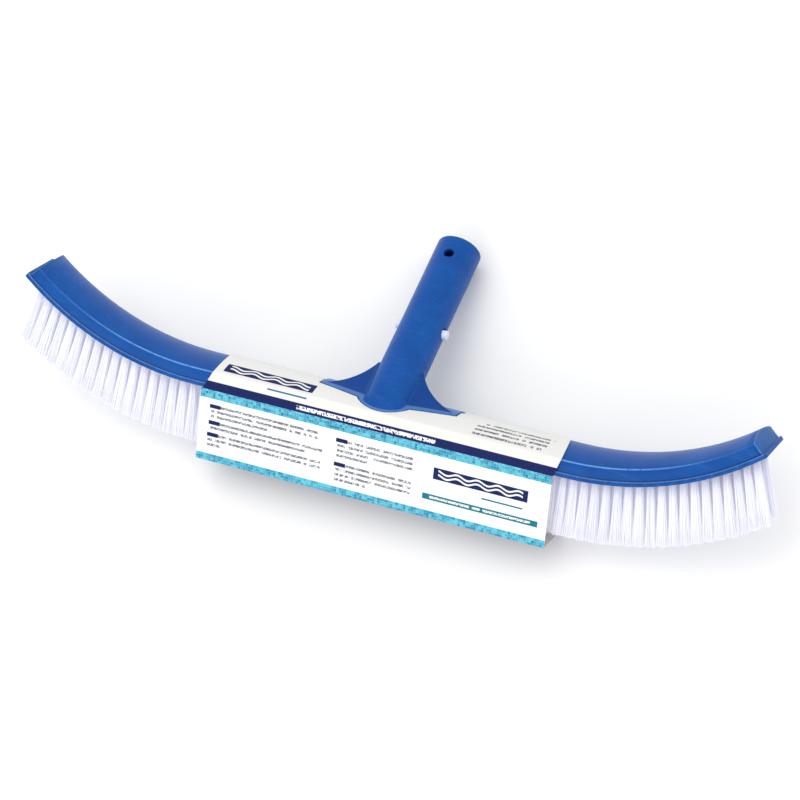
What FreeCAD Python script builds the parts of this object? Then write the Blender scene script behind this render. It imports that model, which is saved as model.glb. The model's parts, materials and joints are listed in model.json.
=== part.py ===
import FreeCAD, Part
import math
import os

# Curved wall brush for swimming pools, with its pole socket, pole clip and card sleeve.
# It is modelled in brush axes: X along the back, +Y to the rear, +Z out of the back on the handle's
# side, and the bristles point to -Z. The last step lays it down on its rear side, as it rests on a
# table: there the row's +Z is up and +Y runs from the bristles towards the handle's open end.

Vector = FreeCAD.Vector

# Driving dimensions in millimetres and degrees
chord = 460.0             # straight distance between the ends of the back
flat_length = 231.2       # straight middle stretch of the back
end_rise = 41.4           # how far the ends bend up above the middle
back_width = 32.4         # width of the lip along the bottom of the back
lip_thickness = 2.3
shoulder_height = 10.0    # top of the side walls
crown_height = 12.8       # middle of the domed top
tuft_length = 39.0
tuft_pitch = 6.46         # distance between tufts, measured along the back
row_spacing = 6.3
tufts_per_row = 72
handle_radius = 13.55     # fits a pole with a 28.6 mm bore
handle_length = 111.0     # along its axis, from the crown of the back to the open end
handle_lean = 54.1        # from the back's normal towards the rear
card_length = 220.0
card_drop = 45.4          # height of the card's front panel
card_thickness = 0.5

# Back
lip_side = 0.8            # the lip stands out this far from the side walls' feet
lip_end = 2.0             # and this far at the two ends
wall_draft = 0.4          # the side walls lean in by this much over their height
end_wall_draft = 6.0      # degrees
edge_radius = 0.5
lip_corner_radius = 1.5

# Tufts and their holes
tuft_fan = 0.45           # share of the back's local slope by which a tuft leans
root_radius = 1.95
tip_radius = 3.05
root_depth = 7.8
hole_radius = 2.05
hole_depth = 8.0
segments_per_row = 6
anchor_width = 3.7
anchor_height = 1.7
anchor_thickness = 0.35
anchor_slot = 0.45

# Handle, measured along its own axis from the crown of the back
handle_foot_y = 3.9
bore_radius = 10.5
bore_floor = 14.0
rim_radius = 1.0
draft_top = 54.6          # the tube is straight above this height and tapers out below it
draft_root = 0.35         # added to its radius at the crown of the back
bolt_hole_radius = 3.05
bolt_hole_from_end = 12.9
rib_bottom = 101.6        # half-moon rib across the front of the bore, above the bolt hole
rib_thickness = 2.5
rib_reach = 4.3           # its straight edge stays this far from the handle's axis
button_from_end = 60.2
button_hole_radius = 3.6
foot_half_length = 17.0   # the oval foot, along X
foot_half_width = 14.3    # and along Y
foot_centre_y = 1.8
foot_round = 4.0          # rounding where the tube turns down into the foot
fin_span = 41.3           # tip of each side fin, from the middle
fin_join_height = 19.2
fin_waist = (26.2, 5.7)   # a point on the fin's hollow edge: across, along the handle
fin_root_half = 4.5
fin_tip_half = 1.2
pad_height = 1.1
pad_margin = 1.1

# Pole clip, a V of moulded plastic inside the bore
clip_width = 8.0
arm_thickness = 1.6
bow_radius = 3.4          # to the middle of the strip
pivot_height = 20.0
arm_end = (8.6, 57.0)     # across, along the handle
knuckle_gap = 0.05
button_radius = 2.8
button_offset = 0.4       # the button sits this far below its hole's centre
button_reach = 16.3       # from the handle's axis to the button's face
button_edge = 0.9

# Card sleeve
sleeve_gap = 0.35         # between the card and the back
sleeve_corner = 1.2
sleeve_lean = 1.1         # the panels lean in by this much between the folds and the shoulders
fold_height = -0.3        # where the front and rear panels are creased
sleeve_ends = {-1: (-109.0, -103.6, -106.3), 1: (110.0, 113.6, 107.8)}   # X at fold, front, rear
cutout_gap = 0.9
cutout_shoulder = (49.0, 15.5)

# Derived sizes
end_run = chord / 2 - flat_length / 2
arc_radius = (end_run ** 2 + end_rise ** 2) / (2 * end_rise)
end_angle = math.asin(end_run / arc_radius)
half_width = back_width / 2
wall_foot = half_width - lip_side
wall_top = wall_foot - wall_draft
bolt_hole_height = handle_length - bolt_hole_from_end
button_hole_height = handle_length - button_from_end
sleeve_front = half_width + sleeve_gap + card_thickness
sleeve_bottom = -card_drop

across = Vector(1, 0, 0)
depth = Vector(0, 1, 0)
up = Vector(0, 0, 1)
handle_turn = FreeCAD.Rotation(across, -handle_lean)
handle_place = FreeCAD.Placement(Vector(0, handle_foot_y, crown_height), handle_turn)


def back_point(travel):
    """Place on the back's underside after travel along it: x, z and slope."""
    side = 1 if travel > 0 else -1
    bend = max(abs(travel) - flat_length / 2, 0) / arc_radius
    x = min(abs(travel), flat_length / 2) + arc_radius * math.sin(bend)
    return side * x, arc_radius * (1 - math.cos(bend)), side * bend


def face_of(edges):
    return Part.Face(Part.Wire(edges))


def crown_section(margin=0.0):
    """Section of the raised body at the start of the flat stretch, grown by margin."""
    x = -flat_length / 2
    foot = Vector(x, wall_foot + margin, lip_thickness)
    top = Vector(x, wall_top + margin, shoulder_height + margin / 2)
    crest = Vector(x, 0, crown_height + margin)
    foot_front = Vector(x, -foot.y, foot.z)
    top_front = Vector(x, -top.y, top.z)
    return face_of([Part.LineSegment(foot_front, foot).toShape(),
                    Part.LineSegment(foot, top).toShape(),
                    Part.Arc(top, crest, top_front).toShape(),
                    Part.LineSegment(top_front, foot_front).toShape()])


def along_back(section, angle):
    """Carry a section along the flat stretch and both bent ends."""
    middle = section.extrude(Vector(flat_length, 0, 0))
    ends = []
    for side in (-1, 1):
        start = section.translated(Vector((side + 1) * flat_length / 2, 0, 0))
        centre = Vector(side * flat_length / 2, 0, arc_radius)
        ends.append(start.revolve(centre, Vector(0, -side, 0), math.degrees(angle)))
    return middle.fuse(ends).removeSplitter()


def end_frame(side):
    """Placement at an end of the underside: X outwards along the back, Z out of the back."""
    x, z, slope = back_point(side * (flat_length / 2 + arc_radius * end_angle))
    turn = FreeCAD.Rotation(depth, -math.degrees(slope))
    if side < 0:
        turn = turn.multiply(FreeCAD.Rotation(up, 180))
    return FreeCAD.Placement(Vector(x, 0, z), turn)


def end_cutter(side):
    """Block that trims the raised body to a leaning wall behind the end of the lip."""
    block = Part.makeBox(40, 80, 60, Vector(0, -40, -10))
    block.rotate(Vector(0, 0, 0), depth, -end_wall_draft)
    block.translate(Vector(-lip_end, 0, lip_thickness))
    block.Placement = end_frame(side).multiply(block.Placement)
    return block


def long_edges(shape, height, tolerance=0.02):
    """Edges at one height above the underside, anywhere along the back."""
    found = []
    for edge in shape.Edges:
        middle = edge.valueAt((edge.FirstParameter + edge.LastParameter) / 2)
        over = abs(middle.x) - flat_length / 2
        level = middle.z
        if over > 0:
            level = arc_radius - math.hypot(over, arc_radius - middle.z)
        if abs(level - height) < tolerance and abs(abs(middle.y) - wall_top) < tolerance:
            found.append(edge)
    return found


def back_blank():
    """The moulded back before its tuft holes: a lip, straight walls and a low domed top."""
    body = along_back(crown_section(), end_angle)
    for side in (-1, 1):
        body = body.cut(end_cutter(side))
    body = body.makeFillet(edge_radius, long_edges(body, shoulder_height))
    x = -flat_length / 2
    corners = [Vector(x, y, z) for y, z in ((-half_width, 0), (half_width, 0),
                                            (half_width, lip_thickness), (-half_width, lip_thickness))]
    lip = along_back(Part.Face(Part.makePolygon(corners + corners[:1])), end_angle)
    upright = []
    for edge in lip.Edges:
        direction = edge.valueAt(edge.LastParameter) - edge.valueAt(edge.FirstParameter)
        if abs(edge.Length - lip_thickness) < 0.01 and abs(edge.CenterOfMass.x) > chord / 2 - 5:
            if abs(direction.y) < 0.01:
                upright.append(edge)
    lip = lip.makeFillet(lip_corner_radius, upright)
    return body.fuse(lip).removeSplitter()


def tuft_places():
    """Row name to the placements of its tufts, with Z into the back and X along it."""
    rows = {}
    for name, row in (("front", -1), ("middle", 0), ("rear", 1)):
        count = tufts_per_row - (1 if row == 0 else 0)
        places = []
        for index in range(count):
            x, z, slope = back_point((index - (count - 1) / 2) * tuft_pitch)
            turn = FreeCAD.Rotation(depth, -math.degrees(slope) * tuft_fan)
            places.append(FreeCAD.Placement(Vector(x, row * row_spacing, z), turn))
        rows[name] = places
    return rows


def placed(shape, placement):
    copy = shape.copy()
    copy.Placement = placement.multiply(copy.Placement)
    return copy


def tuft_shape():
    """One tuft: a round root folded over its anchor, then a bundle that flares to the tip."""
    root = Part.makeCylinder(root_radius, root_depth)
    bundle = Part.makeCone(tip_radius, root_radius, tuft_length, Vector(0, 0, -tuft_length))
    slot = Part.makeBox(2 * tip_radius, anchor_slot, anchor_height + anchor_slot,
                        Vector(-tip_radius, -anchor_slot / 2, root_depth - anchor_height))
    return root.fuse(bundle).cut(slot).removeSplitter()


def anchor_shape():
    """Flat wire anchor that is driven into the bottom of a tuft hole."""
    return Part.makeBox(anchor_width, anchor_thickness, anchor_height,
                        Vector(-anchor_width / 2, -anchor_thickness / 2, root_depth - anchor_height + 0.1))


def in_handle(shape):
    return placed(shape, handle_place)


def side_fin(side):
    """Fin between the tube and the back, with a hollow upper edge, thinner at its tip."""
    bottom = -20.0
    tip = Vector(side * fin_span, 0, -0.4)
    waist = Vector(side * fin_waist[0], 0, fin_waist[1])
    join = Vector(side * (handle_radius + 0.6), 0, fin_join_height)
    inner_top = Vector(0, 0, fin_join_height)
    inner_bottom = Vector(0, 0, bottom)
    outer_bottom = Vector(side * fin_span, 0, bottom)
    outline = face_of([Part.Arc(tip, waist, join).toShape(),
                       Part.LineSegment(join, inner_top).toShape(),
                       Part.LineSegment(inner_top, inner_bottom).toShape(),
                       Part.LineSegment(inner_bottom, outer_bottom).toShape(),
                       Part.LineSegment(outer_bottom, tip).toShape()])
    outline.translate(Vector(0, -20, 0))
    slab = outline.extrude(Vector(0, 40, 0))
    plan = [Vector(0, -fin_root_half, bottom), Vector(side * handle_radius, -fin_root_half, bottom),
            Vector(side * fin_span, -fin_tip_half, bottom), Vector(side * fin_span, fin_tip_half, bottom),
            Vector(side * handle_radius, fin_root_half, bottom), Vector(0, fin_root_half, bottom)]
    wedge = Part.Face(Part.makePolygon(plan + plan[:1])).extrude(Vector(0, 0, 60))
    return in_handle(slab.common(wedge))


def foot_outline(margin, height):
    """Oval foot and the two fins' strips in plan, grown by margin, as a prism from below."""
    base = -5.0
    oval = Part.Ellipse(Vector(0, foot_centre_y, base), foot_half_length + margin,
                        foot_half_width + margin).toShape()
    prism = Part.Face(Part.Wire([oval])).extrude(Vector(0, 0, height - base))
    for side in (-1, 1):
        strip = [Vector(0, -6.0 - margin, base), Vector(side * foot_half_length, -4.2 - margin, base),
                 Vector(side * (fin_span + margin), 1.6 - margin, base),
                 Vector(side * (fin_span + margin), half_width + 6, base), Vector(0, half_width + 6, base)]
        prism = prism.fuse(Part.Face(Part.makePolygon(strip + strip[:1])).extrude(Vector(0, 0, height - base)))
    return prism.removeSplitter()


def tube_with_foot():
    """Solid tube whose lower end stops in a round-fronted foot on the back."""
    buried = 30.0
    straight = Part.makeCylinder(handle_radius, handle_length - draft_top, Vector(0, 0, draft_top))
    root_width = handle_radius + draft_root * (draft_top + buried) / draft_top
    tube = Part.makeCone(root_width, handle_radius, draft_top + buried, Vector(0, 0, -buried)).fuse(straight)
    tube = tube.makeFillet(rim_radius, [edge for edge in tube.Edges
                                        if abs(edge.CenterOfMass.z - handle_length) < 0.01])
    oval = Part.Ellipse(Vector(0, foot_centre_y, -5), foot_half_length, foot_half_width).toShape()
    reach = Part.Face(Part.Wire([oval])).extrude(Vector(0, 0, 120))
    behind = Part.makeBox(60, 120, 120, Vector(-30, foot_centre_y, -5))
    foot = in_handle(tube).common(reach.fuse(behind))
    brow = [edge for edge in foot.Edges if edge.CenterOfMass.y < -9 and edge.CenterOfMass.z > 5]
    return foot.makeFillet(foot_round, brow)


def handle_socket():
    """Hollow handle that plugs into the pole: tube, oval foot, side fins and foot pad."""
    solid = tube_with_foot().fuse([side_fin(-1), side_fin(1)])
    solid = solid.cut(Part.makeBox(200, 120, 60, Vector(-100, -60, lip_thickness - 60)))
    pad_zone = crown_section(pad_height).extrude(Vector(flat_length, 0, 0))
    solid = solid.fuse(foot_outline(pad_margin, 40).common(pad_zone))
    solid = solid.cut(crown_section().extrude(Vector(flat_length, 0, 0)))
    bore = Part.makeCylinder(bore_radius, handle_length, Vector(0, 0, bore_floor))
    bore = bore.cut(Part.makeBox(30, 10, rib_thickness, Vector(-15, -rib_reach - 10, rib_bottom)))
    bolt_hole = Part.makeCylinder(bolt_hole_radius, 60, Vector(0, -30, bolt_hole_height), depth)
    button_hole = Part.makeCylinder(button_hole_radius, 60, Vector(-30, 0, button_hole_height), across)
    return solid.cut([in_handle(bore), in_handle(bolt_hole), in_handle(button_hole)])


def clip_bow():
    """Closed end of the clip, a half ring with a concave seat for each arm."""
    centre_z = bore_floor + bow_radius + arm_thickness / 2
    outer = bow_radius + arm_thickness / 2
    inner = bow_radius - arm_thickness / 2
    start = Vector(0, -clip_width / 2, centre_z)
    ring = Part.makeCylinder(outer, clip_width, start, depth)
    ring = ring.cut(Part.makeCylinder(inner, clip_width, start, depth))
    ring = ring.cut(Part.makeBox(20, 20, 20, Vector(-10, -10, centre_z)))
    legs = []
    for side in (-1, 1):
        corner = Vector(side * bow_radius - arm_thickness / 2, -clip_width / 2, centre_z)
        leg = Part.makeBox(arm_thickness, clip_width, pivot_height - centre_z, corner)
        seat = Part.makeCylinder(arm_thickness / 2 + knuckle_gap, clip_width,
                                 Vector(side * bow_radius, -clip_width / 2, pivot_height), depth)
        legs.append(leg.cut(seat))
    return in_handle(ring.fuse(legs).removeSplitter())


def clip_arm(side):
    """One springy arm with its button, which stands out through the tube's side."""
    run = arm_end[0] - bow_radius
    rise = arm_end[1] - pivot_height
    lean = math.degrees(math.atan2(run, rise))
    knuckle = Part.makeCylinder(arm_thickness / 2, clip_width, Vector(0, -clip_width / 2, 0), depth)
    strip = Part.makeBox(arm_thickness, clip_width, math.hypot(run, rise),
                         Vector(-arm_thickness / 2, -clip_width / 2, 0))
    arm = strip.fuse(knuckle)
    arm.rotate(Vector(0, 0, 0), depth, lean)
    arm.translate(Vector(bow_radius, 0, pivot_height))
    button_z = button_hole_height - button_offset
    button_root = bow_radius + run * (button_z - pivot_height) / rise
    button = Part.makeCylinder(button_radius, button_reach - button_root,
                               Vector(button_root, 0, button_z), across)
    button = button.makeFillet(button_edge, [edge for edge in button.Edges
                                             if abs(edge.CenterOfMass.x - button_reach) < 0.01])
    arm = arm.fuse(button).removeSplitter()
    if side < 0:
        arm.rotate(Vector(0, 0, 0), up, 180)
    return in_handle(arm)


def sleeve_loop(inset):
    """Section of the sleeve in the YZ plane, moved inwards by inset."""
    x = -card_length / 2
    side = sleeve_front - inset
    shoulder = Vector(x, side - sleeve_lean, shoulder_height + sleeve_gap + card_thickness - inset)
    crest = Vector(x, 0, crown_height + sleeve_gap + card_thickness - inset)
    low = Vector(x, side, sleeve_bottom + inset)
    turn = max(sleeve_corner - inset, 0.4)
    diagonal = turn * (1 - math.sqrt(0.5))
    edges = []
    for mirror in (1, -1):
        def at(y, z):
            return Vector(x, mirror * y, z)
        bend_top = at(shoulder.y + 0.1, shoulder.z - turn)
        bend_mid = at(shoulder.y - diagonal * 0.7, shoulder.z - diagonal)
        bend_end = at(shoulder.y - turn, shoulder.z + turn * 0.22)
        fold = at(side, fold_height)
        corner_up = at(side, low.z + turn)
        corner_mid = at(side - diagonal, low.z + diagonal)
        corner_in = at(side - turn, low.z)
        run = [Part.Arc(bend_end, bend_mid, bend_top).toShape(),
               Part.LineSegment(bend_top, fold).toShape(),
               Part.LineSegment(fold, corner_up).toShape(),
               Part.Arc(corner_up, corner_mid, corner_in).toShape()]
        edges.append((bend_end, corner_in, run))
    edges_all = edges[0][2] + edges[1][2]
    edges_all.append(Part.LineSegment(edges[0][1], edges[1][1]).toShape())
    edges_all.append(Part.Arc(edges[0][0], crest, edges[1][0]).toShape())
    return Part.Face(Part.Wire(Part.__sortEdges__(edges_all)))


def sleeve_trimmer(side):
    """Everything beyond one end of the sleeve: square up to the folds and slanted above them."""
    half = side * card_length / 2
    fold_x, front_x, rear_x = sleeve_ends[side]
    top = shoulder_height + sleeve_gap + card_thickness
    fold = Vector(fold_x, -sleeve_front, fold_height)
    front = Vector(front_x, -sleeve_front + sleeve_lean, top)
    rear = Vector(rear_x, sleeve_front - sleeve_lean, top)
    outwards = (front - fold).cross(rear - fold)
    if outwards.x * side < 0:
        outwards = -outwards
    slab = Part.makeBox(100, 100, 20, Vector(-50, -50, 0))
    slab.Placement = FreeCAD.Placement(fold, FreeCAD.Rotation(up, outwards))
    above = slab.common(Part.makeBox(300, 100, 40, Vector(-150, -50, fold_height)))
    below = Part.makeBox(20, 60, 60, Vector(min(half, half + side * 20), -30, fold_height - 60))
    return below.fuse(above)


def card_sleeve():
    """Folded card round the middle of the brush, cut out for the handle's foot."""
    longest = Vector(card_length + 10, 0, 0)
    sheet = sleeve_loop(0).extrude(longest).cut(sleeve_loop(card_thickness).extrude(longest))
    opening = foot_outline(pad_margin + cutout_gap, 40)
    y_rear = sleeve_front + 5
    chamfer = [Vector(-fin_span, 4, 2), Vector(fin_span, 4, 2),
               Vector(cutout_shoulder[0], cutout_shoulder[1], 2), Vector(cutout_shoulder[0], y_rear, 2),
               Vector(-cutout_shoulder[0], y_rear, 2), Vector(-cutout_shoulder[0], cutout_shoulder[1], 2)]
    opening = opening.common(Part.makeBox(200, 80, 60, Vector(-100, -40, 2)))
    opening = opening.fuse(Part.Face(Part.makePolygon(chamfer + chamfer[:1])).extrude(Vector(0, 0, 40)))
    sheet = sheet.cut(opening)
    for side in (-1, 1):
        sheet = sheet.cut(sleeve_trimmer(side))
    return sheet


def rest_placement():
    """Lay the brush on its rear side, on the card's lower rear edge and the handle's end."""
    lean = math.radians(handle_lean)
    rim = handle_length - rim_radius
    hub = handle_radius - rim_radius
    axis_end = Vector(0, handle_foot_y + rim * math.sin(lean), crown_height + rim * math.cos(lean))
    to_rim = Vector(0, hub * math.cos(lean), -hub * math.sin(lean))
    lower_rim = axis_end + to_rim
    card_y = sleeve_front - sleeve_corner
    card_z = sleeve_bottom + sleeve_corner
    gap = math.hypot(lower_rim.y - card_y, lower_rim.z - card_z)
    slope = math.atan2(lower_rim.z - card_z, lower_rim.y - card_y)
    slope += math.asin((sleeve_corner - rim_radius) / gap)
    turn = FreeCAD.Rotation(across, -math.degrees(slope))
    low = turn.multVec(Vector(0, card_y, card_z)).z - sleeve_corner
    front = turn.multVec(Vector(0, -card_y, card_z)).y - sleeve_corner
    rear = turn.multVec(axis_end - to_rim).y + rim_radius
    return FreeCAD.Placement(Vector(0, -(front + rear) / 2, -low), turn)


def build():
    blank = back_blank()
    rows = tuft_places()
    nodes = {}
    drill = Part.makeCylinder(hole_radius, hole_depth + 3, Vector(0, 0, -3))
    holes = [placed(drill, place) for places in rows.values() for place in places]
    nodes["brush_back"] = blank.cut(holes)
    tuft = tuft_shape()
    for name, places in rows.items():
        size = len(places) / segments_per_row
        for segment in range(segments_per_row):
            start = round(segment * size)
            end = round((segment + 1) * size)
            group = [placed(tuft, place) for place in places[start:end]]
            nodes["%s_tufts_%d" % (name, segment + 1)] = Part.makeCompound(group)
    anchor = anchor_shape()
    nodes["tuft_anchors"] = Part.makeCompound([placed(anchor, place)
                                               for places in rows.values() for place in places])
    nodes["handle_socket"] = handle_socket()
    nodes["clip_bow"] = clip_bow()
    nodes["clip_left_arm"] = clip_arm(-1)
    nodes["clip_right_arm"] = clip_arm(1)
    nodes["card_sleeve"] = card_sleeve()
    return nodes


os.makedirs("parts", exist_ok=True)
rest = rest_placement()
for node, shape in build().items():
    placed(shape, rest).exportStep("parts/%s.step" % node)
    print(node, len(shape.Solids), "solids", round(shape.Volume, 1), shape.isValid())
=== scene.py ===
import json
import math
import bmesh
import bpy
from mathutils import Matrix, Vector

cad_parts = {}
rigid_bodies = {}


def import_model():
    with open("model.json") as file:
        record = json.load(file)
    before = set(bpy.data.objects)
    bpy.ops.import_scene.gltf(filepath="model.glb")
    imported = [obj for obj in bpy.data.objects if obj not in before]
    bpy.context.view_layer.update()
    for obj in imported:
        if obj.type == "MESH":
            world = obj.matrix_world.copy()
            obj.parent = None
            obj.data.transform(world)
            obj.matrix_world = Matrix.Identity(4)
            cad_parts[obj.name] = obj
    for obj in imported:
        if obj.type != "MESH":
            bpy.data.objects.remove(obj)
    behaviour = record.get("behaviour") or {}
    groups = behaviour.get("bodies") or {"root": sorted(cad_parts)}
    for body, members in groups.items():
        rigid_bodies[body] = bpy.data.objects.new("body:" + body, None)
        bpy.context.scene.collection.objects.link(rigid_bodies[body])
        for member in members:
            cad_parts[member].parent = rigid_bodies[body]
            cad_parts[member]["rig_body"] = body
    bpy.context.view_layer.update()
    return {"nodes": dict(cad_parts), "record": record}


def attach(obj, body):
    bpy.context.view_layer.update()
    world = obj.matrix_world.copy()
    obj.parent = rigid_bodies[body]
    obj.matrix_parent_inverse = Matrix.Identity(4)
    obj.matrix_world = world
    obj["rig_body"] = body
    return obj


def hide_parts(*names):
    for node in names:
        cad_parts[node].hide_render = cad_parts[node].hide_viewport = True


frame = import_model()
print("frame loaded:", len(frame["nodes"]), "nodes")

# The brush is described in its own axes, in millimetres: X along the back, Y to the rear, Z out of
# the back. The lay matrix turns that into the row frame, where the brush rests on its rear side.
millimetre = 0.001
brush = {
    "handleLean": 54.1,        # degrees from the back's normal
    "handleFoot": (3.9, 12.8),
    "spigotMiddle": 82.3,      # along the handle, from its foot to the middle of the straight tube
    "flatLength": 231.2,       # straight middle of the back, each end bends on from there
    "chord": 460.0,
    "endRise": 41.4,
}
endRun = (brush["chord"] - brush["flatLength"]) / 2
arcRadius = (endRun ** 2 + brush["endRise"] ** 2) / (2 * brush["endRise"])
endBend = math.asin(endRun / arcRadius)

spigot = [m for m in frame["record"]["mounts"] if m["name"] == "pole_spigot"][0]
spigotAxis = Vector(spigot["axis"])
layAngle = math.atan2(spigotAxis.z, spigotAxis.y) - math.radians(90 - brush["handleLean"])
layTurn = Matrix.Rotation(layAngle, 4, "X")
footPoint = layTurn @ Vector((0, *brush["handleFoot"])) * millimetre
spigotFoot = Vector(spigot["pos_m"]) - spigotAxis * brush["spigotMiddle"] * millimetre
brushOrigin = spigotFoot - footPoint
layMatrix = Matrix.Translation(brushOrigin) @ layTurn @ Matrix.Scale(millimetre, 4)


# nodes: one small class each for a socket and for a tree

class Term:
    def __init__(self, tree, socket):
        self.tree = tree
        self.socket = socket

    def math(self, operation, *others):
        return self.tree.math(operation, self, *others)

    def __add__(self, other):
        return self.math("ADD", other)

    def __radd__(self, other):
        return self.math("ADD", other)

    def __sub__(self, other):
        return self.math("SUBTRACT", other)

    def __rsub__(self, other):
        return self.tree.math("SUBTRACT", other, self)

    def __mul__(self, other):
        return self.math("MULTIPLY", other)

    def __rmul__(self, other):
        return self.math("MULTIPLY", other)

    def __truediv__(self, other):
        return self.math("DIVIDE", other)

    def __rtruediv__(self, other):
        return self.tree.math("DIVIDE", other, self)

    def __pow__(self, other):
        return self.math("POWER", other)

    def __rpow__(self, other):
        return self.tree.math("POWER", other, self)

    def __neg__(self):
        return self.math("MULTIPLY", -1.0)

    def __abs__(self):
        return self.math("ABSOLUTE")

    def __gt__(self, other):
        return self.math("GREATER_THAN", other)

    def __lt__(self, other):
        return self.math("LESS_THAN", other)

    def floor(self):
        return self.math("FLOOR")

    def sin(self):
        return self.math("SINE")

    def cos(self):
        return self.math("COSINE")

    def least(self, other):
        return self.math("MINIMUM", other)

    def most(self, other):
        return self.math("MAXIMUM", other)

    def wrap(self, size):
        return self.math("FLOORED_MODULO", size)

    def step(self, low, high):                       # 0 below low, 1 above high, soft between
        return self.tree.node("ShaderNodeMapRange", {"interpolation_type": "SMOOTHSTEP"},
                              {"Value": self, "From Min": low, "From Max": high})

    def line(self, middle, core, edge):              # 1 near the middle value, 0 past the edge
        return 1 - abs(self - middle).step(core, edge)


class Tree:
    def __init__(self, nodeTree):
        self.nodeTree = nodeTree

    def node(self, kind, settings={}, inputs={}, output=0):
        made = self.nodeTree.nodes.new(kind)
        for name, value in settings.items():
            setattr(made, name, value)
        for name, value in inputs.items():
            self.feed(made.inputs[name], value)
        self.last = made
        return Term(self, made.outputs[output]) if len(made.outputs) else None

    def feed(self, socket, value):
        if isinstance(value, Term):
            self.nodeTree.links.new(value.socket, socket)
        else:
            socket.default_value = value

    def math(self, operation, *parts):
        return self.node("ShaderNodeMath", {"operation": operation}, dict(enumerate(parts)))

    def vector(self, operation, *parts, output=0):
        return self.node("ShaderNodeVectorMath", {"operation": operation},
                         dict(enumerate(parts)), output)

    def split(self, vector):
        self.node("ShaderNodeSeparateXYZ", {}, {0: vector})
        return [Term(self, output) for output in self.last.outputs]

    def join(self, x, y, z):
        return self.node("ShaderNodeCombineXYZ", {}, {0: x, 1: y, 2: z})


class Finish(Tree):                                  # a material with one Principled shader
    def __init__(self, name, **constants):
        self.material = bpy.data.materials.new(name)
        self.material.use_nodes = True
        super().__init__(self.material.node_tree)
        self.shader = self.nodeTree.nodes["Principled BSDF"]
        for socket, value in constants.items():
            self.shader.inputs[socket.replace("_", " ")].default_value = value

    def set(self, socket, value):
        self.feed(self.shader.inputs[socket], value)

    def place(self):                                 # brush axes in millimetres
        spot = self.node("ShaderNodeTexCoord", {}, {}, "Object")
        return self.node("ShaderNodeMapping", {"vector_type": "TEXTURE"},
                         {"Vector": spot, "Location": brushOrigin, "Rotation": (layAngle, 0, 0),
                          "Scale": (millimetre, millimetre, millimetre)})

    def mix(self, factor, first, second):
        return self.node("ShaderNodeMix", {"data_type": "RGBA"},
                         {0: factor, 6: first, 7: second}, 2)

    def noise(self, where, scale, detail=2.0, roughness=0.5, distortion=0.0):
        return self.node("ShaderNodeTexNoise", {},
                         {"Vector": where, "Scale": scale, "Detail": detail,
                          "Roughness": roughness, "Distortion": distortion})

    def drawn(self, where, stretch, detail=2.0, roughness=0.5):    # noise pulled out along X
        return self.noise(self.vector("MULTIPLY", where, stretch), 1.0, detail, roughness)

    def chance(self, x, y, z):                       # one random value for each whole cell
        return self.node("ShaderNodeTexWhiteNoise", {"noise_dimensions": "3D"},
                         {"Vector": self.join(x, y, z)}, "Value")

    def share(self, name):                           # a value that the mesh carries
        return self.node("ShaderNodeAttribute", {"attribute_name": name}, {}, "Fac")

    def bump(self, height, strength, distance, under=None):
        values = {"Height": height, "Strength": strength, "Distance": distance}
        if under is not None:
            values["Normal"] = under
        return self.node("ShaderNodeBump", {}, values)


def tint(red, green, blue):                          # from an sRGB colour, 0 to 255
    def linear(value):
        value = value / 255
        return value / 12.92 if value <= 0.04045 else ((value + 0.055) / 1.055) ** 2.4
    return (linear(red), linear(green), linear(blue), 1.0)


# finishes

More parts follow.
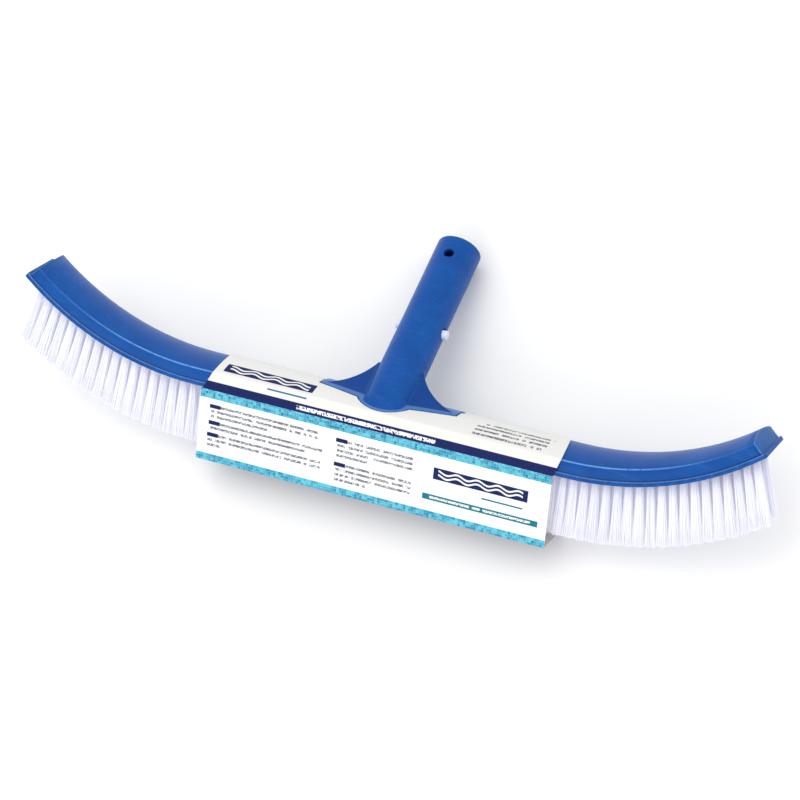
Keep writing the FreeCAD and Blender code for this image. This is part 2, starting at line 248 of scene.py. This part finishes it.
def bluePlastic():
    look = {
        "blue": tint(11, 79, 156), "deep": tint(7, 69, 144), "fin": tint(4, 56, 128),
        # the pale blue serves both the faint flow streaks of the moulding and the painted
        # highlights
        "footShade": tint(5, 42, 104), "paleFlowAndHighlight": tint(128, 176, 228),
        "crown": 12.8, "dome": 0.0124,     # the back's top, and how fast it falls to each side
        "shoulder": 9.85, "shoulderFade": (140.0, 216.0),
        "lip": 2.3, "side": 14.4,
        "lipEnd": 2.0, "endDraft": 0.105, "endEdge": 14.75,
        "padLength": 60.0, "padWidth": (13.6, 15.2), "padRise": 1.3,
        "cloud": 0.035, "breakup": 0.9, "grain": 2.2, "sink": 0.05,      # how fine each noise is
        "flow": (0.03, 0.5, 0.5), "scratch": (0.08, 3.0, 3.0), "roughness": 0.27,
    }
    finish = Finish("bluePlastic", IOR=1.46, Specular_IOR_Level=0.16)
    spot = finish.place()
    x, y, z = finish.split(spot)
    pastFlat = (abs(x) - brush["flatLength"] / 2).most(0.0)
    below = arcRadius - z
    level = arcRadius - (pastFlat * pastFlat + below * below) ** 0.5      # above the bent underside
    domeDrop = y * y * look["dome"]
    cloud = finish.noise(spot, look["cloud"], 3.0, 0.55, 0.6)
    flow = finish.drawn(spot, look["flow"])
    base = finish.mix(cloud.step(0.25, 0.75), look["deep"], look["blue"])
    base = finish.mix(flow.step(0.5, 0.9) * 0.06, base, look["paleFlowAndHighlight"])
    # painted highlight on the foot pad's rim and painted shade on the darker fins
    aboveDome = z - look["crown"] + domeDrop
    nearHandle = (abs(x) < look["padLength"])
    # painted highlight: a pale line along the foot pad's rim
    padRimHighlight = aboveDome.step(0.2, 0.4) * (1 - aboveDome.step(1.0, look["padRise"])) * nearHandle
    base = finish.mix(padRimHighlight * 0.35, base, look["paleFlowAndHighlight"])
    # painted shade: the fins get a darker blue where less light falls on them
    fins = (aboveDome > look["padRise"]) * abs(x).step(*look["padWidth"]) * nearHandle
    base = finish.mix(fins * 0.75, base, look["fin"])
    # painted highlights along the shoulder and the lip, and painted light on the end walls with a
    # brighter outline, broken up by noise
    highlightBreakup = finish.noise(spot, look["breakup"], 4.0, 0.65)
    shoulderLine = level.line(look["shoulder"], 0.15, 0.55)
    shoulderLine = shoulderLine * (1 - abs(x).step(*look["shoulderFade"]) * 0.85)
    lipLine = level.line(look["lip"], 0.05, 0.35)
    sides = (abs(y) > look["side"])
    travel = pastFlat.math("ARCTAN2", below) * arcRadius
    endWall = arcRadius * endBend - look["lipEnd"] - (level - look["lip"]) * look["endDraft"]
    onEndWall = travel.line(endWall, 0.1, 0.55) * (level > look["lip"] + 0.3)
    outline = (abs(y) > look["endEdge"]).most(level - look["crown"] + domeDrop > -0.35)
    # painted highlight lines along the shoulder and the lip of the side walls
    paintedLight = (shoulderLine * 0.6 + lipLine * 0.45) * sides * highlightBreakup.step(0.2, 0.55)
    # painted light: the end walls a little lighter, their outline brighter still
    paintedLight = paintedLight.most(onEndWall * (outline * 0.45 + 0.14) * highlightBreakup.step(0.1, 0.4))
    base = finish.mix(paintedLight, base, look["paleFlowAndHighlight"])
    # painted shade: a dark line in the corner where the side walls meet the lip
    wallFoot = level.line(look["lip"] + 0.7, 0.2, 0.6)
    base = finish.mix(wallFoot * sides * 0.55, base, look["footShade"])
    finish.set("Base Color", base)
    grain = finish.noise(spot, look["grain"], 3.0, 0.6)
    finish.set("Roughness", look["roughness"] + cloud * 0.1 + grain * 0.06 + paintedLight * 0.1)
    scratches = finish.drawn(spot, look["scratch"], 3.0, 0.6)
    pebble = finish.bump(grain, 0.1, 0.00012)
    dragged = finish.bump(scratches, 0.05, 0.0002, pebble)
    sink = finish.noise(spot, look["sink"], 1.0)
    finish.set("Normal", finish.bump(sink, 0.25, 0.0015, dragged))
    return finish.material


def clipPlastic():
    look = {"shade": tint(196, 208, 230), "light": tint(222, 230, 244), "scatter": 0.002,
            "cloud": 0.25, "grain": 3.0, "roughness": 0.28}
    finish = Finish("clipPlastic", IOR=1.48, Subsurface_Weight=0.15,
                    Subsurface_Radius=(look["scatter"],) * 3)
    spot = finish.place()
    cloud = finish.noise(spot, look["cloud"], 3.0)
    finish.set("Base Color", finish.mix(cloud, look["shade"], look["light"]))
    finish.set("Roughness", look["roughness"] + cloud * 0.12)
    finish.set("Normal", finish.bump(finish.noise(spot, look["grain"]), 0.12, 0.0001))
    return finish.material


def bristlePlastic():
    look = {
        "shade": tint(230, 231, 239), "light": tint(242, 243, 248), "pale": tint(243, 243, 249),
        "root": tint(220, 222, 234), "rootShadeReach": 0.3,
        "glowRoot": tint(168, 168, 190), "glowTip": tint(194, 194, 212),   # painted glow: emission stands in for light scattered through the nylon, dimmer at the roots
        "cloud": 0.12, "ripple": 1.6, "along": (1.0, 1.0, 0.6), "roughness": 0.38,
    }
    finish = Finish("bristlePlastic", IOR=1.53, Specular_IOR_Level=0.3, Emission_Strength=0.23)
    spot = finish.place()
    strand = finish.share("strand")
    reach = finish.share("reach")
    cloud = finish.noise(spot, look["cloud"])
    tone = finish.mix(strand, look["shade"], look["light"])
    # painted shade: the filaments darker towards their roots, where the tufts shade each other
    tone = finish.mix(reach.step(0.0, look["rootShadeReach"]) * 0.4 + 0.6, look["root"], tone)
    finish.set("Base Color", finish.mix(cloud * 0.2, tone, look["pale"]))
    # painted glow, dimmer towards the roots
    finish.set("Emission Color", finish.mix(reach, look["glowRoot"], look["glowTip"]))
    finish.set("Roughness", look["roughness"] + strand * 0.15)
    ripple = finish.noise(finish.vector("MULTIPLY", spot, look["along"]), look["ripple"])
    finish.set("Normal", finish.bump(ripple, 0.15, 0.0002))
    return finish.material


def anchorWire():
    look = {"shade": tint(150, 148, 142), "light": tint(196, 194, 188),
            "drawing": (0.4, 8.0, 8.0), "roughness": 0.3}
    finish = Finish("anchorWire", Metallic=1.0)
    streaks = finish.drawn(finish.place(), look["drawing"], 3.0)
    finish.set("Base Color", finish.mix(streaks, look["shade"], look["light"]))
    finish.set("Roughness", look["roughness"] + streaks * 0.2)
    finish.set("Normal", finish.bump(streaks, 0.2, 0.0001))
    return finish.material


def paleFloor():
    look = {"shade": (0.86, 0.86, 0.86, 1), "light": (0.88, 0.88, 0.88, 1), "cloud": 0.01,
            "roughness": 0.8}
    finish = Finish("paleFloor", Specular_IOR_Level=0.2)
    cloud = finish.noise(finish.place(), look["cloud"])
    finish.set("Base Color", finish.mix(cloud, look["shade"], look["light"]))
    finish.set("Roughness", look["roughness"] + cloud * 0.1)
    return finish.material


def plainBoard():
    look = {"shade": tint(205, 200, 190), "light": tint(232, 229, 222),
            "fibre": (1.2, 3.0, 3.0), "roughness": 0.75}
    finish = Finish("plainBoard", Specular_IOR_Level=0.3)
    fibre = finish.drawn(finish.place(), look["fibre"], 4.0, 0.7)
    finish.set("Base Color", finish.mix(fibre, look["shade"], look["light"]))
    finish.set("Roughness", look["roughness"] + fibre * 0.15)
    finish.set("Normal", finish.bump(fibre, 0.3, 0.0001))
    return finish.material


def printedCard():
    look = {
        "paper": tint(233, 235, 234), "shade": tint(221, 221, 218), "fibre": tint(190, 188, 180),
        "navy": tint(4, 24, 84), "words": tint(18, 26, 62), "teal": tint(14, 112, 132),
        "tileDark": tint(8, 120, 160), "tileLight": tint(92, 190, 208),
        "grout": tint(160, 214, 224),
        "tile": 1.62, "groutEdge": (0.1, 0.3),
        "mark": 0.62, "dash": 2.3,         # of the print's half height
        "rub": 0.7, "paperGrain": 2.6, "dent": 0.03, "roughness": 0.42,
    }
    panel = {
        "side": 14.95, "roof": 9.9, "unrolled": 25.35,     # roof heights run on from the front's
        "fold": -0.5, "stripe": 4.9, "bandLow": -5.6, "fieldLow": -40.4, "under": -45.25,
        "frontTop": -6.0, "roofWords": 6.0, "roofBars": 8.0, "titleLow": 23.0,
        "frontBar": (39.0, -20.2, 58.0, 7.2), "roofBar": (-98.5, 12.0, 57.0, 8.0),
    }
    # solid blocks: left, right, low, high
    tealBlock = (33.6, 104.5, -33.6, -30.0)
    headings = [(-103.5, -96.5, -11.5, -9.1), (-103.5, -96.3, -21.8, -19.3),
                (-104.0, -96.8, -29.4, -26.9), (-22.5, -15.3, -12.6, -10.1),
                (-22.5, -15.3, -27.6, -25.1)]
    rules = [(69.5, 94.5, -25.1, -24.1), (-68.5, -43.5, 8.1, 9.1)]
    # print: left, right, first row's height, rows, last row's right end, pitch, half height
    frontPrint = [(-102.5, -34, -10.2, 3, -66, 3.15, 0.78),
                  (-102.5, -30, -20.6, 2, -38, 3.15, 0.78),
                  (-103.5, -31, -28.2, 3, -95, 3.15, 0.78),
                  (-21.5, 26, -11.4, 4, -2, 3.15, 0.78),
                  (-21.5, 26, -26.4, 4, 0, 3.15, 0.78)]
    roofTitle = (62, 104, 24.5, 1, 104, 3.6, 0.9)
    roofPrint = (58, 102, 20.6, 3, 100, 3.9, 0.9)
    tealPrint = (38, 100, -31.8, 1, 100, 3.2, 0.7)
    stripePrint = (-49, 38, 2.2, 1, 38, 4.0, 1.2)
    seeds = {"front": 1, "roofTitle": 6, "roof": 7, "teal": 8, "stripe": 12}
    finish = Finish("printedCard", IOR=1.45, Specular_IOR_Level=0.12)
    spot = finish.place()
    x, y, z = finish.split(spot)

    def inside(value, low, high, soft=0.06):
        return value.step(low - soft, low + soft) * (1 - value.step(high - soft, high + soft))

    def box(across, along, left, right, low, high):
        return inside(across, left, right) * inside(along, low, high)

    def boxes(places):
        covered = 0.0
        for place in places:
            covered = box(x, z, *place).most(covered)
        return covered

    # rows of broken marks stand for print, with no letters in them
    def lines(across, along, left, right, top, count, lastRight, pitch, height, seed):
        depth = top + pitch / 2 - along
        row = (depth / pitch).floor()
        inRows = inside(depth, 0.0, count * pitch, 0.01)
        within = abs(depth.wrap(pitch) - pitch / 2)
        end = right + (row > count - 1.5) * (lastRight - right)
        run = across.step(left, left + 0.1) * (1 - (across - end).step(-0.1, 0.0))
        mark = height * look["mark"]
        dash = height * look["dash"]
        ragged = finish.chance((across / mark).floor(), (along / mark).floor() + row * 7, seed)
        rowCell = (row * 3.1 / 1.55).floor()
        dashes = finish.chance((across / dash).floor(), rowCell, seed + 0.5)
        solid = (height - within).step(-0.08, 0.08)
        return inRows * run * (ragged > 0.22) * (dashes > 0.12) * solid

    # plain emblem: a bar with two waves through it
    def emblem(across, along, left, low, width, height):
        bar = box(across, along, left, left + width, low, low + height)
        swell = (across * (2 * math.pi / (height * 1.75))).sin() * (height * 0.13)
        wave = abs(abs(along - (low + height / 2) - swell) - height * 0.17)
        line = 1 - wave.step(height * 0.05, height * 0.1)
        return bar, bar * line * inside(across, left + 3, left + width - 3)

    onFront = (y < -panel["side"])
    notRear = 1 - (y > panel["side"])
    printed = onFront.most(z > panel["roof"]) * notRear
    unrolled = z * onFront + (y + panel["unrolled"]) * (1 - onFront)
    lowFront = (z < panel["frontTop"])

    tileChance = finish.chance((x / look["tile"]).floor(), (z / look["tile"]).floor(), 0.0)
    gaps = [1 - value.wrap(look["tile"]).step(*look["groutEdge"]) for value in (x, z)]
    tiles = finish.mix(tileChance, look["tileDark"], look["tileLight"])
    tiles = finish.mix((gaps[0] + gaps[1]).least(1.0) * 0.35, tiles, look["grout"])

    words = 0.0
    for number, block in enumerate(frontPrint):
        words = lines(x, z, *block, seeds["front"] + number).most(words)
    roofWords = lines(x, unrolled, *roofPrint, seeds["roof"]) * (unrolled < panel["titleLow"])
    roofWords = roofWords.most(lines(x, unrolled, *roofTitle, seeds["roofTitle"]))
    roofWords = roofWords * (unrolled > panel["roofWords"])
    frontBar, frontWave = emblem(x, z, *panel["frontBar"])
    roofBar, roofWave = emblem(x, unrolled, *panel["roofBar"])
    onRoofBars = (unrolled > panel["roofBars"])
    tealBar = box(x, z, *tealBlock)
    tealWords = lines(x, z, *tealPrint, seeds["teal"])
    marks = [
        ((words * lowFront + roofWords * notRear).least(1.0) * 0.8, "words"),
        (boxes(headings), "navy"),
        ((frontBar * lowFront).most(roofBar * onRoofBars), "navy"),
        ((frontWave * lowFront).most(roofWave * onRoofBars), "paper"),
        (boxes(rules), "teal"),
        (tealBar, "teal"),
        (tealWords * tealBar, "paper"),
    ]
    stripe = inside(z, panel["fold"], panel["stripe"]) * onFront
    stripeWords = lines(x, z, *stripePrint, seeds["stripe"])
    bands = (inside(z, panel["bandLow"], panel["fold"]) + (z < panel["fieldLow"])).least(1.0)

    # painted shade: from above the stripe the roof and the upper rear take the darker shade paper,
    # while the front panel stays lighter
    colour = finish.mix((z + y * 0.2).step(0.6, 2.2), look["paper"], look["shade"])
    colour = finish.mix(bands, colour, tiles)
    for mask, ink in marks:
        colour = finish.mix(mask * printed, colour, look[ink])
    colour = finish.mix(stripe, colour, look["navy"])
    colour = finish.mix(stripeWords * stripe, colour, look["paper"])
    colour = finish.mix((z < panel["under"]), colour, look["navy"])
    # white wear where the card is creased
    rub = finish.noise(spot, look["rub"], 4.0, 0.7)
    crease = z.line(panel["fold"] - 0.1, 0.05, 0.35) * (abs(y) > 16.0)
    crease = crease.most((1 - (z + 45.4).step(0.1, 0.9)) * (abs(y) > 16.2))
    colour = finish.mix(crease * rub.step(0.45, 0.7) * 0.5, colour, look["paper"])
    fibre = finish.noise(spot, look["paperGrain"], 4.0, 0.65)
    finish.set("Base Color", finish.mix(fibre.step(0.4, 0.8) * 0.06, colour, look["fibre"]))
    finish.set("Roughness", look["roughness"] + fibre * 0.12 + crease * 0.2)
    dents = finish.bump(finish.noise(spot, look["dent"]), 0.35, 0.002)
    finish.set("Normal", finish.bump(fibre, 0.08, 0.0001, dents))
    return finish.material


blue = bluePlastic()
white = clipPlastic()
nylon = bristlePlastic()
wire = anchorWire()
card = printedCard()
board = plainBoard()
print("finishes made")


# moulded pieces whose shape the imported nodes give

moulding = {"weld": 2e-6, "sharpAngle": 30.0}
mouldings = [                                        # node, piece, finish, slot
    ("brush_back", "bentBack", blue, "blue_plastic"),
    ("handle_socket", "handle", blue, "blue_plastic"),
    ("clip_bow", "clipBow", white, "clip_plastic"),
    ("clip_left_arm", "clipLeftArm", white, "clip_plastic"),
    ("clip_right_arm", "clipRightArm", white, "clip_plastic"),
    ("card_sleeve", "cardSleeve", card, "printed_card"),
]


def mouldedCopy(node, name, material, slot):
    source = frame["nodes"][node]
    mesh = source.data.copy()
    mesh.name = name
    shape = bmesh.new()
    shape.from_mesh(mesh)
    bmesh.ops.remove_doubles(shape, verts=shape.verts, dist=moulding["weld"])
    shape.to_mesh(mesh)
    shape.free()
    mesh.shade_smooth()
    mesh.set_sharp_from_angle(angle=math.radians(moulding["sharpAngle"]))
    mesh.materials.clear()
    mesh.materials.append(material)
    piece = bpy.data.objects.new(name, mesh)
    bpy.context.scene.collection.objects.link(piece)
    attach(piece, source["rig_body"])
    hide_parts(node)
    return piece


pieces = {moulded[1]: mouldedCopy(*moulded) for moulded in mouldings}

sleeveCut = {"middle": -15.0, "outwards": 4.0}       # the middle of the sleeve's section, in height
sleeve = pieces["cardSleeve"].data
sleeve.materials.append(board)
toBrush = layMatrix.inverted()
for face in sleeve.polygons:                         # bare board inside and along the cut edges
    middle = toBrush @ face.center
    facing = layTurn.inverted() @ face.normal
    outwards = facing.y * middle.y + facing.z * (middle.z - sleeveCut["middle"])
    face.material_index = 0 if outwards > sleeveCut["outwards"] else 1
anchors = frame["nodes"]["tuft_anchors"].data
anchors.materials.clear()
anchors.materials.append(wire)
print("moulded pieces made")


# bristles

tuftSizes = {
    "Pitch": 6.46,
    "Fan": 0.45,            # share of the local slope by which a tuft leans
    "Length": 39.0,
    "Root Radius": 1.7,
    "Tip Radius": 3.12,
    "Filament Radius": 0.24,
    "Root Depth": 1.2,
    "Flat Length": brush["flatLength"],
    "Arc Radius": arcRadius,
    "Outermost": 235.35,    # no tip lies further out along X
    "Stray": 0.26,
    "Trim": 0.25,
    "Curl": 0.4,
}
tuftRows = {
    "front": {"Row Offset": -6.3, "Tufts": 72, "Filaments": 54, "Seed": 16},
    "middle": {"Row Offset": 0.0, "Tufts": 71, "Filaments": 54, "Seed": 17},
    "rear": {"Row Offset": 6.3, "Tufts": 72, "Filaments": 54, "Seed": 15},
}
tuftGroups = range(1, 7)                             # each row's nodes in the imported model


def bristleTree():
    group = bpy.data.node_groups.new("bristleRow", "GeometryNodeTree")
    inputs = {name: "NodeSocketFloat" for name in list(tuftSizes) + ["Row Offset"]}
    inputs.update({name: "NodeSocketInt" for name in ("Tufts", "Filaments", "Seed")})
    inputs["Material"] = "NodeSocketMaterial"
    for name, kind in inputs.items():
        group.interface.new_socket(name, in_out="INPUT", socket_type=kind)
    group.interface.new_socket("Geometry", in_out="OUTPUT", socket_type="NodeSocketGeometry")
    tree = Tree(group)
    tree.node("NodeGroupInput")
    given = {output.name: Term(tree, output) for output in tree.last.outputs if output.name}

    def random(low, high, salt):
        return tree.node("FunctionNodeRandomValue", {"data_type": "FLOAT"},
                         {2: low, 3: high, "Seed": given["Seed"] * 10 + salt}, 1)

    def stored(geometry, name, value):
        return tree.node("GeometryNodeStoreNamedAttribute",
                         {"data_type": "FLOAT", "domain": "POINT"},
                         {"Geometry": geometry, "Name": name, "Value": value})

    # the tuft's place along the back and its lean
    index = tree.node("GeometryNodeInputIndex")
    tuft = (index / given["Filaments"] + 0.001).floor()
    strand = index - tuft * given["Filaments"]
    travel = (tuft - (given["Tufts"] - 1) / 2) * given["Pitch"]
    side = travel.math("SIGN")
    half = given["Flat Length"] / 2
    bend = (abs(travel) - half).most(0.0) / given["Arc Radius"]
    baseX = side * (abs(travel).least(half) + given["Arc Radius"] * bend.sin())
    baseZ = given["Arc Radius"] * (1 - bend.cos())
    lean = side * bend * given["Fan"]

    def spot(localX, localY, localZ):                # from the tuft's own axes to the brush's
        return tree.join(baseX + localX * lean.cos() - localZ * lean.sin(),
                         given["Row Offset"] + localY,
                         baseZ + localX * lean.sin() + localZ * lean.cos())

    # each filament's root and tip, spread by the golden angle
    goldenAngle = 2.399963
    tuftAngle = 1.713                                # turns each tuft a little from the last
    fullTurn = 6.2832
    ring = ((strand + 0.5) / given["Filaments"]) ** 0.5
    turn = strand * goldenAngle + tuft * tuftAngle
    outX = ring * turn.cos()
    outY = ring * turn.sin()
    start = spot(given["Root Radius"] * outX, given["Root Radius"] * outY, given["Root Depth"])
    stray = given["Stray"]
    spread = 1 + (bend > 0.0) * given["Fan"] * given["Length"] / given["Arc Radius"]
    corner = (turn.cos() ** 4 + turn.sin() ** 4) ** 0.25
    square = given["Tip Radius"] / corner            # the tips fill a rounded square
    end = spot(square * spread * outX + stray * random(-1.0, 1.0, 1),
               square * outY + stray * random(-1.0, 1.0, 2),
               -given["Length"] + given["Trim"] * random(0.0, 1.0, 3))
    endX, endY, endZ = tree.split(end)
    end = tree.join(endX.most(-given["Outermost"]).least(given["Outermost"]), endY, endZ)
    along = tree.vector("SUBTRACT", end, start)
    length = tree.vector("LENGTH", along, output="Value")
    aim = tree.node("FunctionNodeAlignRotationToVector", {"axis": "Z"}, {"Vector": along})
    spin = tree.node("FunctionNodeAxisAngleToRotation", {},
                     {"Axis": (0, 0, 1), "Angle": random(0.0, fullTurn, 4)})
    aim = tree.node("FunctionNodeRotateRotation", {"rotation_space": "LOCAL"},
                    {"Rotation": aim, "Rotate By": spin})
    roots = tree.node("GeometryNodePoints", {},
                      {"Count": given["Tufts"] * given["Filaments"], "Position": start})
    roots = stored(roots, "strand", random(0.0, 1.0, 5))
    # one filament, a slim rod from 0 to 1 with a slight curl
    rod = tree.node("GeometryNodeMeshCylinder", {"fill_type": "NGON"},
                    {"Vertices": 5, "Side Segments": 3, "Radius": given["Filament Radius"],
                     "Depth": 1.0})
    share = tree.split(tree.node("GeometryNodeInputPosition"))[2] + 0.5
    rod = stored(rod, "reach", share)
    curl = given["Curl"] * (share * share * (1 - share)) * 3
    rod = tree.node("GeometryNodeSetPosition", {},
                    {"Geometry": rod, "Offset": tree.join(curl, 0.0, 0.5)})
    rows = tree.node("GeometryNodeInstanceOnPoints", {},
                     {"Points": roots, "Instance": rod, "Rotation": aim,
                      "Scale": tree.join(1.0, 1.0, length)})
    rows = tree.node("GeometryNodeRealizeInstances", {}, {"Geometry": rows})
    rows = tree.node("GeometryNodeSetShadeSmooth", {}, {"Geometry": rows})
    rows = tree.node("GeometryNodeSetMaterial", {},
                     {"Geometry": rows, "Material": given["Material"]})
    tree.node("NodeGroupOutput", {}, {"Geometry": rows})
    return group


def grown(group, name, values):                      # runs a tree once and keeps its plain mesh
    holder = bpy.data.objects.new(name + "Seed", bpy.data.meshes.new(name + "Seed"))
    bpy.context.scene.collection.objects.link(holder)
    modifier = holder.modifiers.new(name, "NODES")
    modifier.node_group = group
    for socket in group.interface.items_tree:
        if socket.in_out == "INPUT":
            modifier[socket.identifier] = values[socket.name]
    depsgraph = bpy.context.evaluated_depsgraph_get()
    mesh = bpy.data.meshes.new_from_object(holder.evaluated_get(depsgraph))
    holder.modifiers.remove(modifier)
    bpy.data.objects.remove(holder)
    mesh.name = name
    mesh.transform(layMatrix)
    piece = bpy.data.objects.new(name, mesh)
    bpy.context.scene.collection.objects.link(piece)
    return piece


bristleRow = bristleTree()
for rowName, rowSizes in tuftRows.items():
    piece = grown(bristleRow, rowName + "Bristles", {**tuftSizes, **rowSizes, "Material": nylon})
    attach(piece, "brush")
    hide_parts(*["%s_tufts_%d" % (rowName, part) for part in tuftGroups])
    print(rowName, "bristles:", len(piece.data.polygons), "faces")


# floor, light and camera

studio = {
    "floorSize": 8.0,
    "skyStrength": 1.06,
    "aim": (0, 0, 0.03),
    "lights": {                                      # place, size, watts
        "keyLight": ((-0.45, 0.25, 1.9), (1.6, 1.4), 9),
        "frontLight": ((0.1, -1.5, 1.0), (1.4, 0.8), 6),
    },
}
edge = studio["floorSize"] / 2
floorMesh = bpy.data.meshes.new("floor")
floorMesh.from_pydata([(-edge, -edge, 0), (edge, -edge, 0), (edge, edge, 0), (-edge, edge, 0)], [],
                      [(0, 1, 2, 3)])
floorMesh.materials.append(paleFloor())
floor = bpy.data.objects.new("floor", floorMesh)
bpy.context.scene.collection.objects.link(floor)

world = bpy.data.worlds.new("studioSky")
world.use_nodes = True
sky = world.node_tree.nodes["Background"]
sky.inputs["Color"].default_value = (1.0, 1.0, 1.0, 1)
sky.inputs["Strength"].default_value = studio["skyStrength"]
bpy.context.scene.world = world

for name, (place, size, power) in studio["lights"].items():
    lamp = bpy.data.lights.new(name, "AREA")
    lamp.shape = "RECTANGLE"
    lamp.size, lamp.size_y = size
    lamp.energy = power
    holder = bpy.data.objects.new(name, lamp)
    holder.location = place
    aim = Vector(studio["aim"]) - Vector(place)
    holder.rotation_euler = aim.to_track_quat("-Z", "Y").to_euler()
    bpy.context.scene.collection.objects.link(holder)

# The camera stands at a distance from the origin of the brush's own axes, in millimetres.
view = {"azimuth": 21.023, "elevation": 22.42, "roll": 5.807, "distance": 1890.2,
        "lens": 147.5, "sensor": 36, "aim": (8.5, 12.05)}     # aim: across and up from there
azimuth, elevation, roll = [math.radians(view[name]) for name in ("azimuth", "elevation", "roll")]
outward = Vector((math.sin(azimuth) * math.cos(elevation), -math.cos(azimuth) * math.cos(elevation),
                  math.sin(elevation)))
level = Vector((math.cos(azimuth), math.sin(azimuth), 0))
upright = outward.cross(level)
across = level * math.cos(roll) + upright * math.sin(roll)
upward = upright * math.cos(roll) - level * math.sin(roll)
eye = outward * view["distance"]
lookBack = (eye - across * view["aim"][0] - upward * view["aim"][1]).normalized()
cameraX = (across - lookBack * across.dot(lookBack)).normalized()
cameraY = lookBack.cross(cameraX)
cameraTurn = Matrix((cameraX, cameraY, lookBack)).transposed().to_4x4()
cameraData = bpy.data.cameras.new("camera")
cameraData.lens = view["lens"]
cameraData.sensor_width = view["sensor"]
camera = bpy.data.objects.new("camera", cameraData)
camera.matrix_world = Matrix.Translation(layMatrix @ eye) @ layTurn @ cameraTurn
bpy.context.scene.collection.objects.link(camera)
bpy.context.scene.camera = camera
bpy.context.scene.view_settings.view_transform = "Standard"
print("studio made")
